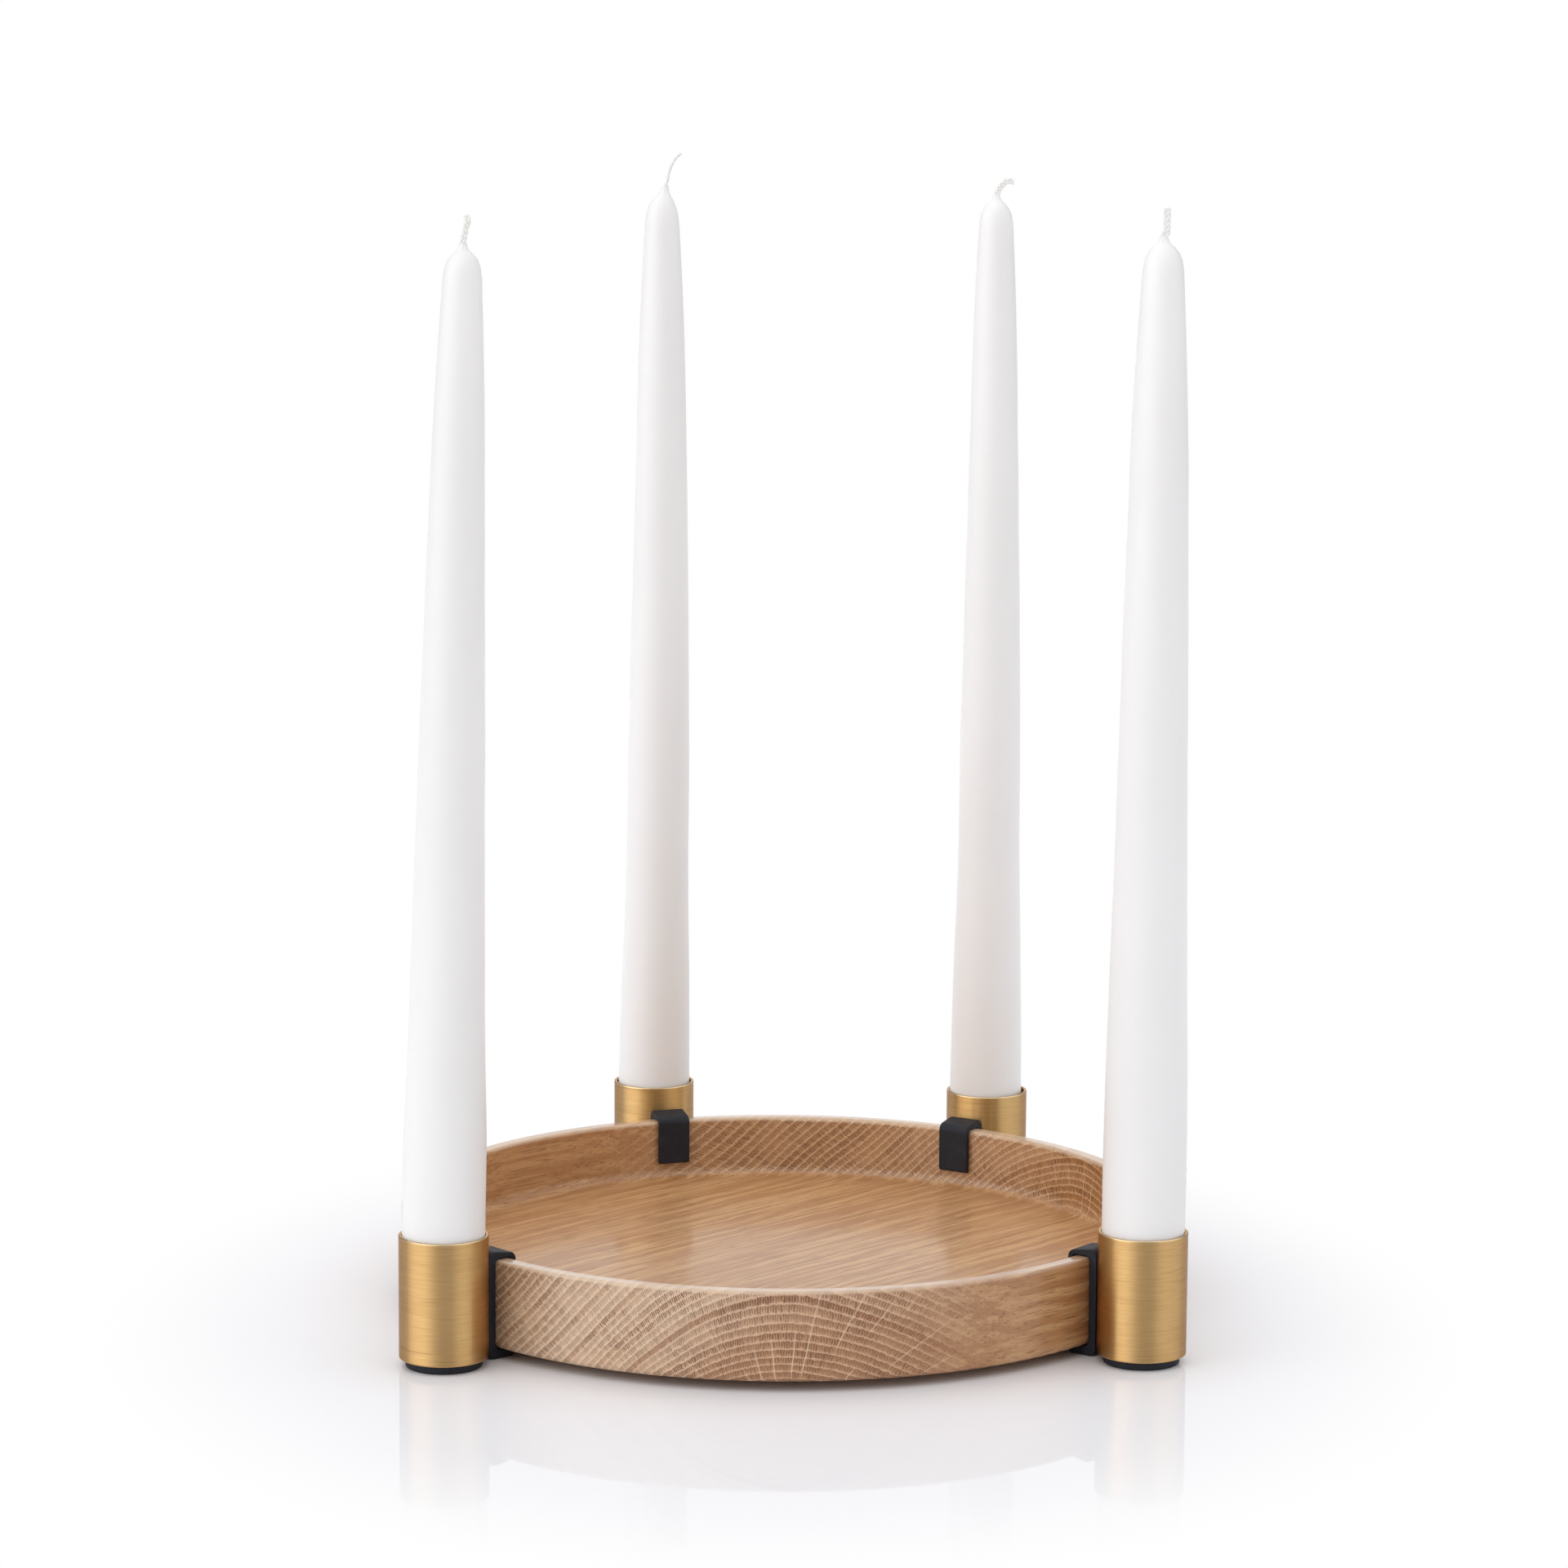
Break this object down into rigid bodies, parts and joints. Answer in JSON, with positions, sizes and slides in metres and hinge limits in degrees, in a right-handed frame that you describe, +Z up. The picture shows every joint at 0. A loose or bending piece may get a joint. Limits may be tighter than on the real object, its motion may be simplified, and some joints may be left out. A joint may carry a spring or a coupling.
{
  "type": "advent candle holder",
  "caption": "Round turned wooden tray with an upright rim; brass candle cups clipped round the outside on rubber straps hold tall white taper candles.",
  "frame": {"origin": "centre of the tray's flat floor", "axes": "+Z up along the tray's axis, +X to the right and +Y away from a viewer who faces the wide gap between the two front candles"},
  "size_m": [0.2158, 0.2337, 0.3165],
  "materials": {
    "oak": "oiled light oak, fine sanded",
    "brass": "satin, brushed round the cup",
    "rubber": "matt black moulded",
    "steel": "plain zinc-plated",
    "wax": "smooth white wax, faint sheen",
    "wick": "waxed cotton braid"
  },
  "bodies": {
    "tray": {"tray": "oak"},
    "front_left_holder": {"front_left_cup": "brass", "front_left_rim_clip": "rubber", "front_left_clip_screw": "steel", "front_left_foot_pad": "rubber"},
    "front_left_taper": {"front_left_candle": "wax", "front_left_wick": "wick"},
    "front_right_holder": {"front_right_cup": "brass", "front_right_rim_clip": "rubber", "front_right_clip_screw": "steel", "front_right_foot_pad": "rubber"},
    "front_right_taper": {"front_right_candle": "wax", "front_right_wick": "wick"},
    "rear_right_holder": {"rear_right_cup": "brass", "rear_right_rim_clip": "rubber", "rear_right_clip_screw": "steel", "rear_right_foot_pad": "rubber"},
    "rear_right_taper": {"rear_right_candle": "wax", "rear_right_wick": "wick"},
    "rear_left_holder": {"rear_left_cup": "brass", "rear_left_rim_clip": "rubber", "rear_left_clip_screw": "steel", "rear_left_foot_pad": "rubber"},
    "rear_left_taper": {"rear_left_candle": "wax", "rear_left_wick": "wick"}
  },
  "joints": [
    {"name": "front_left_round_rim", "type": "hinge", "parent": "tray", "child": "front_left_holder", "pos_m": [0, 0, 0], "axis": [0, 0, 1], "range_deg": [-50, 43]},
    {"name": "front_left_candle_lift", "type": "slide", "parent": "front_left_holder", "child": "front_left_taper", "axis": [0.0236, 0, 0.9997], "range_m": [0, 0.03]},
    {"name": "front_right_round_rim", "type": "hinge", "parent": "tray", "child": "front_right_holder", "pos_m": [0, 0, 0], "axis": [0, 0, 1], "range_deg": [-43, 42]},
    {"name": "front_right_candle_lift", "type": "slide", "parent": "front_right_holder", "child": "front_right_taper", "axis": [0.0035, 0, 1], "range_m": [0, 0.03]},
    {"name": "rear_right_round_rim", "type": "hinge", "parent": "tray", "child": "rear_right_holder", "pos_m": [0, 0, 0], "axis": [0, 0, 1], "range_deg": [-42, 18]},
    {"name": "rear_right_candle_lift", "type": "slide", "parent": "rear_right_holder", "child": "rear_right_taper", "axis": [0, 0, 1], "range_m": [0, 0.03]},
    {"name": "rear_left_round_rim", "type": "hinge", "parent": "tray", "child": "rear_left_holder", "pos_m": [0, 0, 0], "axis": [0, 0, 1], "range_deg": [-18, 50]},
    {"name": "rear_left_candle_lift", "type": "slide", "parent": "rear_left_holder", "child": "rear_left_taper", "axis": [0.007, 0, 1], "range_m": [0, 0.03]}
  ]
}
